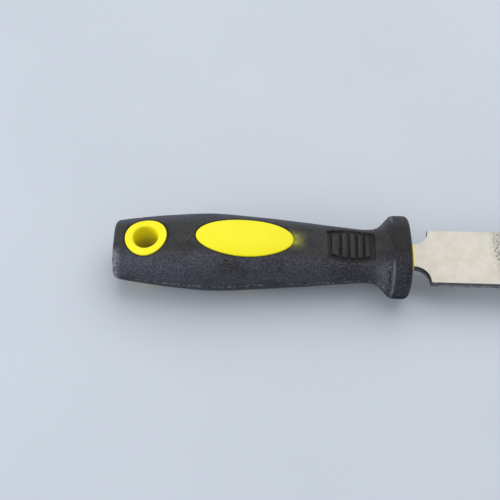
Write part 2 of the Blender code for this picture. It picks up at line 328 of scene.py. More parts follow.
def grip_relief(s, y, z):
    """How far the grip stands out from its plain outline."""
    relief = -panel_relief(s, y)
    for window in (EYE, OVAL):
        distance = np.clip(window_distance(s, y, window), 0, WINDOW_LIP)
        relief -= WINDOW_LIP - np.sqrt(np.maximum(WINDOW_LIP**2 - (WINDOW_LIP - distance) ** 2, 0))
    wander = 0.6 + 0.25 * np.sin(s * 0.9) + 0.15 * np.sin(s * 2.3 + 1)
    flash = bell(z, FLASH_WIDTH) * smooth_step(GUARD_START - s, 2)
    relief += FLASH_HEIGHT * wander * flash
    relief -= SEAM_GROOVE_DEPTH * bell(s - SEAM_GROOVE, SEAM_GROOVE_WIDTH)
    relief += SEAM_RIDGE_HEIGHT * bell(s - SEAM_RIDGE, SEAM_RIDGE_WIDTH)
    return relief


# ---------------------------------------------------------------- mesh helpers

def to_frame(points):
    """Tool millimetres to frame metres."""
    return np.asarray(points, float) * MM + np.array((BUTT_X, 0.0, MID_Z))


def new_piece(name, work, materials, smooth=True):
    """Object from a bmesh, with its materials."""
    bmesh.ops.recalc_face_normals(work, faces=work.faces)
    mesh = bpy.data.meshes.new(name)
    work.to_mesh(mesh)
    work.free()
    if smooth:
        mesh.shade_smooth()
    for material in materials:
        mesh.materials.append(material)
    piece = bpy.data.objects.new(name, mesh)
    bpy.context.scene.collection.objects.link(piece)
    return piece


def helper(name, work):
    """Object that is only joined to a piece or cut from it."""
    return new_piece(name, work, [])


def grid_faces(first, columns, rows):
    """Quads of a grid of vertices numbered column by column."""
    faces = []
    for i in range(columns - 1):
        for j in range(rows - 1):
            a = first + i * rows + j
            faces.append((a, a + 1, a + rows + 1, a + rows))
    return faces


def bmesh_from(points, faces):
    mesh = bpy.data.meshes.new("work")
    mesh.from_pydata([tuple(p) for p in points], [], faces)
    work = bmesh.new()
    work.from_mesh(mesh)
    bpy.data.meshes.remove(mesh)
    return work


def loft(rings, is_tube=False):
    """Closed bmesh through rings of points in tool millimetres."""
    work = bmesh.new()
    loops = [[work.verts.new(p) for p in to_frame(ring)] for ring in rings]
    pairs = list(zip(loops, loops[1:]))
    if is_tube:
        pairs.append((loops[-1], loops[0]))
    else:
        work.faces.new(loops[0])
        work.faces.new(loops[-1])
    for first, second in pairs:
        for i in range(len(first)):
            j = (i + 1) % len(first)
            work.faces.new((first[i], first[j], second[j], second[i]))
    return work


def section(s, a, b, sides=64):
    """Superellipse section of the handle's kind."""
    angle = np.linspace(0, 2 * np.pi, sides, endpoint=False)
    y = a * signed_power(np.cos(angle), 2 / ROUNDNESS)
    z = b * signed_power(np.sin(angle), 2 / ROUNDNESS)
    return np.stack([np.full(sides, s), y, z], -1)


def combine(target, operation, tool):
    """Cut the tool from the target, or join it, and remove the tool."""
    modifier = target.modifiers.new("combine", "BOOLEAN")
    modifier.operation = operation
    modifier.solver = "EXACT"
    modifier.object = tool
    depsgraph = bpy.context.evaluated_depsgraph_get()
    mesh = bpy.data.meshes.new_from_object(target.evaluated_get(depsgraph))
    target.modifiers.clear()
    old_mesh = target.data
    target.data = mesh
    bpy.data.meshes.remove(old_mesh)
    bpy.data.objects.remove(tool, do_unlink=True)


def quarter_turn(steps):
    return np.linspace(0, np.pi / 2, steps)


# ---------------------------------------------------------------- materials

class Look:
    """One material. Its helpers add a node and return the socket that comes out of it.

    Patterns are laid out in tool millimetres, so a noise of scale 2 has features of 0.5 mm.
    """

    def __init__(self, name, **sockets):
        self.material = bpy.data.materials.new(name)
        self.material.use_nodes = True
        self.tree = self.material.node_tree
        self.shader = self.tree.nodes["Principled BSDF"]
        self.set_shader(**sockets)
        place = self.put("ShaderNodeTexCoord", "Object", {})
        origin = (-BUTT_X / MM, 0.0, -MID_Z / MM)
        scale = (1 / MM, 1 / MM, 1 / MM)
        inputs = {"Vector": place, "Location": origin, "Scale": scale}
        self.place = self.put("ShaderNodeMapping", "Vector", inputs)
        split = self.tree.nodes.new("ShaderNodeSeparateXYZ")
        self.tree.links.new(self.place, split.inputs[0])
        self.s, self.y, self.z = split.outputs

    def put(self, kind, output, inputs, **settings):
        node = self.tree.nodes.new(kind)
        for key, value in settings.items():
            setattr(node, key, value)
        self.fill(node, inputs)
        return node.outputs[output]

    def fill(self, node, inputs):
        for key, value in inputs.items():
            if isinstance(value, bpy.types.NodeSocket):
                self.tree.links.new(value, node.inputs[key])
            else:
                node.inputs[key].default_value = value

    def set_shader(self, **sockets):
        self.fill(self.shader, {name.replace("_", " "): value for name, value in sockets.items()})

    def math(self, operation, first, second=0.0):
        return self.put("ShaderNodeMath", 0, {0: first, 1: second}, operation=operation)

    def times(self, *values):
        result = values[0]
        for value in values[1:]:
            result = self.math("MULTIPLY", result, value)
        return result

    def size(self, value):
        return self.math("ABSOLUTE", value)

    def ramp(self, value, low, high, to_low=0.0, to_high=1.0):
        """Map low..high to to_low..to_high and hold the ends."""
        inputs = {"Value": value, "From Min": low, "From Max": high, "To Min": to_low, "To Max": to_high}
        return self.put("ShaderNodeMapRange", "Result", inputs, interpolation_type="SMOOTHSTEP")

    def near(self, value, centre, reach):
        """1 at the centre, fading to 0 at the reach."""
        return self.ramp(self.size(self.math("SUBTRACT", value, centre)), reach, 0.0)

    def stretched(self, stretch):
        return self.put("ShaderNodeMapping", "Vector", {"Vector": self.place, "Scale": stretch})

    def noise(self, scale, detail=3.0, roughness=0.5, stretch=None):
        vector = self.stretched(stretch) if stretch else self.place
        inputs = {"Vector": vector, "Scale": scale, "Detail": detail, "Roughness": roughness}
        return self.put("ShaderNodeTexNoise", 0, inputs)

    def specks(self, scale, radius, share):
        """Mask of scattered specks: cells per millimetre, radius in cells, share of cells with one."""
        node = self.tree.nodes.new("ShaderNodeTexVoronoi")
        self.fill(node, {"Vector": self.place, "Scale": scale})
        chosen = self.ramp(node.outputs["Color"], 1 - share, 1 - share + 0.01)
        return self.times(self.ramp(node.outputs["Distance"], radius, radius * 0.5), chosen)

    def mix(self, factor, first, second, blend="MIX"):
        inputs = {0: factor, 6: first, 7: second}
        return self.put("ShaderNodeMix", 2, inputs, data_type="RGBA", blend_type=blend)

    def shade(self, color, factor):
        """Colour times a grey factor."""
        return self.mix(1.0, color, factor, "MULTIPLY")

    def bump(self, height, distance, strength=1.0):
        inputs = {"Height": height, "Distance": distance * MM, "Strength": strength}
        return self.put("ShaderNodeBump", "Normal", inputs)


def grey(value):
    return (value, value, value, 1.0)


def make_black_rubber():
    look = Look("black_rubber")
    mottle = look.noise(1.5, 6, 0.75)
    grain = look.noise(4.0, 3, 0.7)
    color = rubber_base(look, mottle, grain)
    color = add_wear_and_painted_light(look, color)
    color = add_dust(look, color)
    # Painted shade: darker down in the rib panel's recess and in the gaps round the windows.
    recess = look.put("ShaderNodeAttribute", "Fac", {}, attribute_name="recess")
    color = look.shade(color, look.ramp(recess, 0.1, 0.85, 1.0, 0.3))
    color = add_smear(look, color)
    look.set_shader(Base_Color=color, Roughness=look.ramp(mottle, 0.4, 0.6, 0.38, 0.6))
    low_guard = look.times(look.ramp(look.s, *GUARD_FADE), look.ramp(look.z, 3, -5))
    gloss = look.times(look.ramp(mottle, 0.4, 0.62, 0.28, 0.58), look.ramp(recess, 0.1, 0.85, 1.0, 0.8))
    gloss = look.times(gloss, look.ramp(low_guard, 0, 1, 1.0, 0.2), look.ramp(look.z, -8, 5, 0.6, 1.0))
    gloss = look.times(gloss, look.ramp(look.s, 104, 112, 1.0, 0.75))
    look.set_shader(Specular_IOR_Level=gloss)
    height = look.math("ADD", mottle, look.times(grain, 0.4))
    look.set_shader(Normal=look.bump(height, 0.4, 0.8))
    return look.material


def rubber_base(look, mottle, grain):
    """Black with brownish and bluish clouds, a painted blue reflection on the sides, painted light and
    shade along the handle, a dark blotch, and a mottled mould texture, stronger on the sides.
    """
    cloud = look.ramp(look.noise(0.14, 3), 0.42, 0.58)
    color = look.mix(cloud, RUBBER_BROWN, RUBBER_COOL)
    flank = look.ramp(look.size(look.y), *FLANK_FADE)
    # Painted reflection: the sides take a blue grey that stands for the blue surroundings reflected in
    # them.
    color = look.mix(look.times(flank, 0.9), color, RUBBER_FLANK_REFLECTION)
    patch = look.ramp(look.noise(0.12, 4, 0.6), 0.36, 0.5, 0.5, 1.08)
    color = look.shade(color, patch)
    blotch = look.times(look.near(look.s, BLOTCH[0], 11), look.near(look.y, BLOTCH[1], 4.5))
    blotch = look.times(blotch, look.ramp(look.noise(0.35, 4, 0.6), 0.4, 0.56))
    color = look.shade(color, look.ramp(blotch, 0, 0.6, 1.0, 0.25))
    # Painted shade: darker towards the bottom.
    color = look.shade(color, look.ramp(look.z, -5, 3, 0.5, 1.0))
    # Painted light on the sides towards the butt, and painted shade on the sides round the rib panel.
    color = look.shade(color, look.ramp(look.times(flank, look.ramp(look.s, 42, 14)), 0, 1, 1.0, 1.4))
    color = look.shade(color, look.ramp(look.times(flank, look.near(look.s, 96, 16)), 0, 1, 1.0, 0.5))
    # Painted shade: the guard darker, and darker still low down.
    guard = look.ramp(look.s, *GUARD_FADE)
    color = look.shade(color, look.ramp(guard, 0, 1, 1.0, 0.42))
    color = look.shade(color, look.ramp(look.times(guard, look.ramp(look.z, 4, -4)), 0, 1, 1.0, 0.5))
    texture = look.shade(color, look.ramp(mottle, 0.4, 0.62, 0.4, 1.9))
    texture = look.shade(texture, look.ramp(grain, 0.38, 0.62, 0.6, 1.45))
    return look.mix(look.ramp(flank, 0, 1, 0.35, 0.85), color, texture)


def add_wear_and_painted_light(look, color):
    """Paler blue-grey mottle, scratches, a darker band and chips of flash on the parting lines, crumbs at
    the guard's seam, painted shade in its groove, a painted highlight on its ridge and painted glare on the
    flare.
    """
    flank = look.ramp(look.size(look.y), *FLANK_FADE)
    # Paler blue-grey mottle, stronger on the sides.
    pale_mottle = look.times(look.ramp(look.noise(1.7, 5, 0.75), 0.5, 0.62), look.ramp(flank, 0, 1, 0.15, 0.85))
    color = look.mix(pale_mottle, color, RUBBER_PALE_MOTTLE)
    scratches = look.ramp(look.noise(1.4, 3, 0.6, (0.08, 1, 2.2)), 0.62, 0.7, 0, 0.6)
    color = look.mix(look.times(scratches, flank), color, grey(0.13))
    chips = look.ramp(look.noise(1.1, 4, 0.7, (0.6, 1, 1.6)), 0.52, 0.6)
    chips = look.times(chips, look.ramp(look.noise(0.12, 3, 0.6), 0.4, 0.54, 0.3, 1.0))
    # A darker band along the parting line.
    line = look.times(look.near(look.z, DARK_LINE, 2.2), look.ramp(look.noise(0.3, 3), 0.35, 0.5, 0.5, 1.0))
    color = look.shade(color, look.ramp(line, 0, 1, 1.0, 0.3))
    color = look.mix(look.times(look.near(look.z, CHIP_LINE, 1.5), chips, 0.9), color, grey(0.36))
    side = look.ramp(look.size(look.y), 8, 12)
    # Painted shade in the groove of the guard's seam.
    groove = look.times(look.near(look.s, SEAM_GROOVE, 1.3), side)
    color = look.shade(color, look.ramp(groove, 0, 1, 1.0, 0.25))
    # Painted highlight along the ridge of the guard's seam.
    strip = look.near(look.s, SEAM_RIDGE, 0.9)
    strip = look.times(strip, side, look.ramp(look.noise(0.5, 3), 0.3, 0.55, 0.3, 0.9))
    color = look.mix(strip, color, SEAM_HIGHLIGHT)
    # Painted glare on the lower sides of the guard's flare.
    flare = look.times(look.near(look.s, FLARE_GLARE_STATION, 3.2), look.ramp(look.size(look.y), 8, 11))
    flare = look.times(flare, look.ramp(look.z, -6, 0), look.ramp(look.noise(0.9, 5, 0.7), 0.38, 0.58))
    color = look.mix(look.times(flare, 0.8), color, FLARE_GLARE)
    crumbs = look.ramp(look.noise(1.3, 4, 0.7), 0.53, 0.62)
    shoulder = look.near(look.s, SEAM_GROOVE - 0.5, 3.2)
    return look.mix(look.times(shoulder, side, crumbs, 0.75), color, grey(0.22))


def add_dust(look, color):
    """Scattered pale specks everywhere, and dust on one corner of the butt."""
    for scale, radius, share, strength in ((0.5, 0.13, 0.14, 0.8), (1.1, 0.26, 0.08, 0.5)):
        color = look.mix(look.times(look.specks(scale, radius, share), strength), color, grey(0.33))
    corner = look.times(look.ramp(look.s, 4.0, 0.8), look.ramp(look.y, -3, -8))
    dust = look.times(corner, look.ramp(look.noise(0.9, 5, 0.7), 0.36, 0.62), 0.85)
    return look.mix(dust, color, BUTT_DUST)


def add_smear(look, color):
    """Yellow haze on the rubber beyond the tip of the upper oval."""
    tip = OVAL_TIP
    along = look.times(look.ramp(look.s, tip + 6.5, tip - 1.5), look.ramp(look.s, tip - 2.5, tip - 1.5))
    smear = look.times(along, look.ramp(look.size(look.y), 5.5, 0.5), look.ramp(look.z, 0, 2))
    smear = look.times(smear, look.ramp(look.noise(0.6, 4, 0.6), 0.15, 0.6))
    close = look.times(look.ramp(look.s, tip + 2.2, tip + 0.2), look.ramp(look.size(look.y), 2.6, 1.4))
    tint = look.mix(close, SMEAR, SMEAR_CLOSE)
    return look.mix(look.times(smear, 0.95), color, tint)


def make_yellow_plastic():
    """Bright yellow, with painted shade down in the eye's hole, and stained at the upper oval's tip."""
    look = Look("yellow_plastic", Specular_IOR_Level=0.25)
    tone = look.ramp(look.noise(0.08, 3), 0.35, 0.65)
    color = look.mix(tone, YELLOW, YELLOW_PALE)
    color = look.shade(color, look.ramp(look.noise(2.5, 3), 0.3, 0.7, 0.97, 1.0))
    # Painted shade down in the eye's hole, darkest low in the hole.
    depth = look.times(look.ramp(look.z, 5, -6), look.ramp(look.size(look.z), 8, 6.5))
    depth = look.times(depth, look.ramp(look.s, 40, 30))
    color = look.mix(look.times(depth, 0.7), color, YELLOW_HOLE_SHADE)
    stained = look.times(look.ramp(look.s, OVAL_TIP - 1.6, OVAL_TIP), look.near(look.s, OVAL_TIP, 5))
    stained = look.times(stained, look.ramp(look.z, 0, 2))
    color = look.mix(look.times(stained, 0.2), color, YELLOW_STAIN)
    rough = look.ramp(look.noise(0.5, 4, 0.6), 0.3, 0.7, 0.42, 0.52)
    look.set_shader(Base_Color=color, Roughness=rough)
    look.set_shader(Normal=look.bump(look.noise(2.2, 3, 0.6), 0.03, 0.5))
    return look.material


def make_ground_steel():
    look = Look("ground_steel", Metallic=0.4, Specular_IOR_Level=0.4)
    cloud = look.ramp(look.noise(0.2, 4, 0.6), 0.36, 0.64)
    color = look.mix(cloud, STEEL_WARM, STEEL_PALE)
    lines = look.noise(1.5, 4, 0.65, (3.0, 0.12, 1.0))
    color = look.shade(color, look.ramp(lines, 0.35, 0.65, 0.94, 1.03))
    color = look.shade(color, look.ramp(look.noise(2.2, 3, 0.6), 0.36, 0.64, 0.93, 1.03))
    stain = look.specks(0.35, 0.2, 0.1)
    color = look.mix(look.times(stain, 0.35), color, STEEL_STAIN)
    rough = look.ramp(lines, 0.3, 0.7, 0.5, 0.66)
    look.set_shader(Base_Color=color, Roughness=rough, Normal=look.bump(lines, 0.03, 0.6))
    return look.material


def make_edge_steel():
    """Sawn and notched edges: dark scale, a painted pale blue reflection towards the lower corner, with
    bright nicks.
    """
    look = Look("edge_steel", Metallic=0.4)
    scale = look.noise(1.2, 5, 0.7, (1, 1, 2.5))
    color = look.mix(look.ramp(scale, 0.36, 0.64), SCALE_DARK, SCALE_PALE)
    # Painted reflection: a pale blue grey towards the lower corner of the edges.
    low = look.times(look.ramp(look.z, 0.6, -0.8), look.ramp(look.noise(1.0, 4, 0.7), 0.4, 0.56))
    color = look.mix(look.times(low, 0.9), color, EDGE_LOW_REFLECTION)
    nicks = look.ramp(look.noise(1.6, 4, 0.65, (1, 1, 0.3)), 0.56, 0.66, 0, 0.7)
    nicks = look.times(nicks, look.ramp(look.z, BLADE_HALF_THICK - 1.3, BLADE_HALF_THICK - 0.2))
    color = look.mix(nicks, color, EDGE_NICK)
    rough = look.ramp(scale, 0.3, 0.7, 0.7, 0.45)
    look.set_shader(Base_Color=color, Roughness=rough, Normal=look.bump(scale, 0.2, 0.8))
    return look.material


def make_grit_layer():
    """Pale plating full of crushed grains, with painted shade in the hollows, dark specks of painted shadow
    between grains, and painted glints.
    """
    look = Look("grit_layer", Metallic=0.3)
    grains = look.noise(2.0, 5, 0.8)
    # Painted shade in the hollows between the raised grains.
    color = look.mix(look.ramp(grains, 0.4, 0.5), GRIT_HOLLOW_SHADE, GRIT_PLATE)
    # Painted shadows: dark specks between grains.
    dark = look.specks(1.3, 0.58, 0.5)
    color = look.mix(look.times(dark, 0.9), color, GRIT_SHADOW)
    # Painted glints.
    glints = look.specks(1.5, 0.32, 0.25)
    color = look.mix(look.times(glints, 0.9), color, GRIT_GLINT)
    rough = look.ramp(grains, 0.35, 0.65, 0.85, 0.5)
    look.set_shader(Base_Color=color, Roughness=rough, Normal=look.bump(grains, 0.25, 0.8))
    return look.material


def make_floor_paint():
    look = Look("floor_paint", Specular_IOR_Level=0.3)
    tone = look.ramp(look.noise(0.01, 3), 0.3, 0.7)
    color = look.mix(tone, FLOOR_COOL, FLOOR_PALE)
    look.set_shader(Base_Color=color, Roughness=look.ramp(look.noise(0.2, 3), 0.3, 0.7, 0.5, 0.6))
    return look.material


# ---------------------------------------------------------------- the grip

def spaced(start, end, count):
    """Values from start to end, closer together near both."""
    t = np.linspace(0, 1, count)
    return start + (end - start) * (1 - np.cos(np.pi * t)) / 2


def window_stations(window, count):
    centre, half_length, _, roundness = window
    angle = np.linspace(0, np.pi, count)
    return centre - (half_length + WINDOW_GAP) * signed_power(np.cos(angle), 2 / roundness)


def panel_stations():
    """Stations over the rib panel, with extra ones at each wall."""
    walls = [PANEL[0], PANEL[1]] + [edge for rib in RIBS for edge in rib]
    groups = [np.arange(PANEL[0] - 0.9, PANEL[1] + 1.0, 0.3)]
    for wall in walls:
        groups.append(wall + WALL_RUN * np.arange(-1, 1.1, 0.5))
    stations = np.unique(np.round(np.concatenate(groups), 3))
    return stations[np.concatenate([[True], np.diff(stations) > 0.045])]


def grip_columns():
    """Station, half width and half thickness of each column of the grip's mesh."""
    columns = []
    face = (half_width(0.0) - BUTT_EDGE, half_thick(0.0) - BUTT_EDGE)
    for share in (0.04, 0.2, 0.4, 0.6, 0.8, 0.93):
        columns.append((0.0, face[0] * share, face[1] * share))
    for angle in quarter_turn(EDGE_STEPS):
        s = BUTT_EDGE * (1 - math.cos(angle))
        inset = BUTT_EDGE * (1 - math.sin(angle))
        columns.append((s, half_width(s) - inset, half_thick(s) - inset))
    eye = window_stations(EYE, EYE_COLUMNS)
    oval = window_stations(OVAL, OVAL_COLUMNS)
    panel = panel_stations()
    groups = [
        spaced(BUTT_EDGE, eye[0], 10)[1:-1],
        eye,
        spaced(eye[-1], oval[0], 18)[1:-1],
        oval,
        spaced(oval[-1], panel[0], 22)[1:-1],
        panel,
        np.linspace(panel[-1], FACE_RIM - GUARD_EDGE, 60)[1:],
    ]
    for s in np.concatenate(groups):
        columns.append((s, half_width(s), half_thick(s)))
    for angle in quarter_turn(EDGE_STEPS)[::-1][1:]:
        s = FACE_RIM - GUARD_EDGE * (1 - math.cos(angle))
        inset = GUARD_EDGE * (1 - math.sin(angle))
        columns.append((s, half_width(s) - inset, half_thick(s) - inset))
    outer = columns[-1][1:]
    opening = (COLLAR[0] + WINDOW_GAP, COLLAR[1] + WINDOW_GAP)
    for share in (0.1, 0.25, 0.4, 0.6, 0.8, 0.95, 1.0):
        sizes = [outer[i] + (opening[i] - outer[i]) * share for i in range(2)]
        s = FACE_RIM + FACE_BULGE * (1 - (sizes[0] / outer[0]) ** 2)
        columns.append((s, *sizes))
    columns.append((HANDLE_END - MOUTH_BACK, *opening))
    return np.array(columns)


def grip_rows(s, a):
    """Angles round a quarter of each section: from the window or the top line down to the side."""
    starts = np.maximum(window_half(s, EYE), window_half(s, OVAL))
    body = (s > BUTT_EDGE) & (s < FACE_RIM - GUARD_EDGE)
    starts = np.where(body, starts, 0)
    top = np.arccos(np.clip(starts / a, 0, 1) ** (ROUNDNESS / 2))
    near_panel = smooth_step(s - (PANEL[0] - 3), 2.5) * smooth_step(PANEL[1] + 2.5 - s, 2)
    rib_end = np.arccos(np.clip((panel_half(s) - RIB_MARGIN) / a, 0, 1) ** (ROUNDNESS / 2))
    panel_edge = np.arccos(np.clip(panel_half(s) / a, 0, 1) ** (ROUNDNESS / 2))
    first = rib_end * near_panel + 0.7 * top * (1 - near_panel)
    second = panel_edge * near_panel + 0.61 * top * (1 - near_panel)
    lines = (top, first, second, np.zeros_like(top))
    angles = [top]
    for count, upper, lower in zip(ROW_COUNTS, lines, lines[1:]):
        for share in spaced(0, 1, count + 1)[1:]:
            angles.append(upper + (lower - upper) * share)
    return np.stack(angles, 1)


def quarter_surface(columns, angles):
    """Points of the grip's quarter at +y and +z, with its relief."""
    s, a, b = columns.T
    ds, da, db = (np.gradient(line) for line in (s, a, b))
    a, b, ds, da, db = (line[:, None] for line in (a, b, ds, da, db))
    on_top = np.isclose(angles, np.pi / 2, atol=1e-7)
    y = np.where(on_top, 0, a * np.cos(angles) ** (2 / ROUNDNESS))
    y[:, -1] = a[:, 0]
    z = b * np.sin(angles) ** (2 / ROUNDNESS)
    station = np.repeat(s[:, None], angles.shape[1], 1)
    pull = (y / a) ** ROUNDNESS * da / a + (z / b) ** ROUNDNESS * db / b
    normal_y = y ** (ROUNDNESS - 1) / a**ROUNDNESS * ds
    normal_z = z ** (ROUNDNESS - 1) / b**ROUNDNESS * ds
    normal = np.stack([-pull, normal_y, normal_z], -1)
    normal /= np.maximum(np.linalg.norm(normal, axis=-1, keepdims=True), 1e-9)
    body = (s > BUTT_EDGE - 0.01) & (s < FACE_RIM - 0.01) & (np.arange(len(s)) < len(s) - 1)
    relief = grip_relief(station, y, z) * body[:, None]
    place = np.stack([station, y, z], -1) + normal * relief[..., None]
    place[..., 1] = np.where(on_top, 0, place[..., 1])
    place[:, -1, 2] = 0
    return place


def add_window_walls(points, faces, window, count, columns, starts):
    """Walls through the handle between the upper and lower outline of a window."""
    stations = window_stations(window, count)
    low = int(np.argmin(np.abs(columns[:, 0] - stations[0])))
    rows = sum(ROW_COUNTS) + 1
    for side_y in (1, -1):
        all_points = np.concatenate(points)
        outline = np.arange(low, low + count) * rows
        levels = [starts[side_y, 1] + outline]
        for side_z in (1, -1):
            edge = starts[side_y, side_z] + outline
            first = sum(len(group) for group in points)
            points.append(all_points[edge] - np.array((0, 0, side_z)))
            levels.append(first + np.arange(count))
        levels.append(starts[side_y, -1] + outline)
        for one, two in zip(levels, levels[1:]):
            for i in range(count - 1):
                faces.append((one[i], one[i + 1], two[i + 1], two[i]))


def mark_recesses(grip):
    """Store for the rubber's material how deep a point lies in a recess or at a window's edge, where the
    material paints shade; the panel's floor beside the ribs gets less of it.
    """
    mesh = grip.data
    places = np.empty(len(mesh.vertices) * 3)
    mesh.vertices.foreach_get("co", places)
    s, y, z = ((places.reshape(-1, 3) - to_frame((0, 0, 0))) / MM).T
    in_panel = np.abs(s - sum(PANEL) / 2) < (PANEL[1] - PANEL[0]) / 2 + 0.2
    in_panel = in_panel & (np.abs(y) < panel_half(s) + 0.2)
    depth = np.where(in_panel, np.clip((face_height(s, y) - np.abs(z)) / PANEL_DEPTH, 0, 1), 0)
    beside = np.maximum(RIBS[0][0] - s, s - RIBS[-1][1])
    beside = np.maximum(beside, np.abs(y) - panel_half(s) + RIB_MARGIN)
    depth = depth * (1 - 0.5 * smooth_step(beside, 0.8))
    distance = np.minimum(window_distance(s, y, EYE), window_distance(s, y, OVAL))
    rim = 1 - smooth_step(distance - WINDOW_LIP, WINDOW_LIP)
    attribute = mesh.attributes.new("recess", "FLOAT", "POINT")
    attribute.data.foreach_set("value", np.maximum(depth, rim))


def make_grip(material):
    columns = grip_columns()
    angles = grip_rows(columns[:, 0], columns[:, 1])
    quarter = quarter_surface(columns, angles)
    points = []
    faces = []
    starts = {}
    for side_y in (1, -1):
        for side_z in (1, -1):
            starts[side_y, side_z] = sum(len(group) for group in points)
            faces += grid_faces(starts[side_y, side_z], *angles.shape)
            points.append((quarter * np.array((1, side_y, side_z))).reshape(-1, 3))
    add_window_walls(points, faces, EYE, EYE_COLUMNS, columns, starts)
    add_window_walls(points, faces, OVAL, OVAL_COLUMNS, columns, starts)
    work = bmesh_from(to_frame(np.concatenate(points)), faces)
    bmesh.ops.remove_doubles(work, verts=work.verts, dist=1e-8)
    bmesh.ops.dissolve_degenerate(work, dist=1e-9, edges=work.edges)
    bmesh.ops.holes_fill(work, edges=[edge for edge in work.edges if edge.is_boundary], sides=0)
    grip = new_piece("grip_skin", work, [material])
    front_size = (COLLAR[0] + 0.1, COLLAR[1] + 0.1)
    cavity = core_rings(WALL - CAVITY_GAP, HANDLE_END - CAVITY_FRONT, front_size)
    combine(grip, "DIFFERENCE", helper("cavity", loft(cavity)))
    mark_recesses(grip)
    return grip


# ---------------------------------------------------------------- the core

def core_rings(inset, front, front_size):
    """Sections of the space under the grip, up to a front station."""
    rings = [section(inset, half_width(inset) - inset - 1.5, half_thick(inset) - inset - 1.5)]
    for s in np.linspace(inset + 1.5, CHANNEL_START, 24):
        rings.append(section(s, half_width(s) - inset, half_thick(s) - inset))
    rings.append(section(COLLAR_START, *front_size))
    rings.append(section(front, *front_size))
    return rings


def outline_points(window, count, share=1.0):
    centre, half_length, half, roundness = window
    angle = np.linspace(0, 2 * np.pi, count, endpoint=False)
    s = centre + half_length * share * signed_power(np.cos(angle), 2 / roundness)
    y = half * share * signed_power(np.sin(angle), 2 / roundness)
    return s, y


def boss(window, profile, count, is_tube):
    """Body that reaches both broad faces: rings at a share of the outline, sunk under the surface."""
    upper = []
    lower = []
    for share, sink in profile:
        s, y = outline_points(window, count, share)
        reach = face_height(s, y) - sink
        upper.append(np.stack([s, y, reach], -1))
        lower.append(np.stack([s, y, -reach], -1))
    return loft(upper[::-1] + lower, is_tube)


def eye_profile():
    """Shares of the radius and depths: rounded flange edge, gently dished face, lip, hole wall."""
    rim = EYE[1] - 0.05
    edge = EYE_EDGE
    points = [(rim, edge + 0.5)]
    for angle in quarter_turn(6):
        points.append((rim - edge * (1 - math.cos(angle)), edge * (1 - math.sin(angle))))
    lip_start = EYE_HOLE + EYE_LIP
    for radius in np.linspace(rim - edge, lip_start, 5)[1:-1]:
        points.append((radius, EYE_DISH * (rim - edge - radius) / (rim - edge - lip_start)))
    for angle in quarter_turn(10):
        points.append((lip_start - EYE_LIP * math.sin(angle), EYE_DISH + EYE_LIP * (1 - math.cos(angle))))
    points.append((EYE_HOLE, 2.5))
    points.append((EYE_HOLE, 4.0))
    return [(radius / EYE[1], sink) for radius, sink in points]


def oval_profile():
    """Rounded edge and a face that stands a hair proud."""
    points = []
    for angle in quarter_turn(7):
        share = 1 - OVAL_EDGE * (1 - math.cos(angle)) / OVAL[2]
        points.append((share, OVAL_EDGE * (1 - math.sin(angle)) - OVAL_PROUD))
    return points + [(share, -OVAL_CROWN) for share in (0.9, 0.75, 0.6, 0.4, 0.2, 0.05)]


def tang_outline(grow, front):
    far = [
        (TANG_START - grow, TANG_END_HALF + grow),
        (TANG_START + TANG_TAPER, NECK_HALF + grow),
        (front, NECK_HALF + grow),
    ]
    return far + [(s, -y) for s, y in reversed(far)]


def make_core(material):
    core = helper("yellow_core", loft(core_rings(WALL, HANDLE_END - CORE_FRONT, COLLAR)))
    room_outline = outline_points((EYE[0], EYE_ROOM, EYE_ROOM, 2.0), 64)
    room = [np.stack([*room_outline, np.full(64, z)], -1) for z in (-20, 20)]
    combine(core, "DIFFERENCE", helper("room", loft(room)))
    combine(core, "UNION", helper("eye", boss(EYE, eye_profile(), 128, True)))
    combine(core, "UNION", helper("oval", boss(OVAL, oval_profile(), 160, False)))
    collar = []
    for angle in quarter_turn(6):
        inset = COLLAR_EDGE * (1 - math.sin(angle))
        s = COLLAR_END - COLLAR_EDGE * (1 - math.cos(angle))
        collar.append(section(s, COLLAR[0] - inset, COLLAR[1] - inset))
    collar.append(section(HANDLE_END - COLLAR_BACK, COLLAR[0] - 0.05, COLLAR[1] - 0.05))
    combine(core, "UNION", helper("collar", loft(collar)))
    slot = tang_outline(SLOT_GAP, COLLAR_END + 3)
    half = BLADE_HALF_THICK + SLOT_GAP
    combine(core, "DIFFERENCE", helper("slot", loft([[(s, y, z) for s, y in slot] for z in (-half, half)])))
    core.data.materials.append(material)
    core.data.shade_smooth()
    core.data.set_sharp_from_angle(angle=math.radians(40))
    return core


# ---------------------------------------------------------------- the blade

def arc(s, y, radius, start, end, steps=14):
    angles = np.radians(np.linspace(start, end, steps + 1))
    return [(s + radius * math.cos(t), y + radius * math.sin(t)) for t in angles]


def slanted(y):
    """Station where the grit starts, at a place across the blade."""
    return GRIT_START - GRIT_SLANT * y


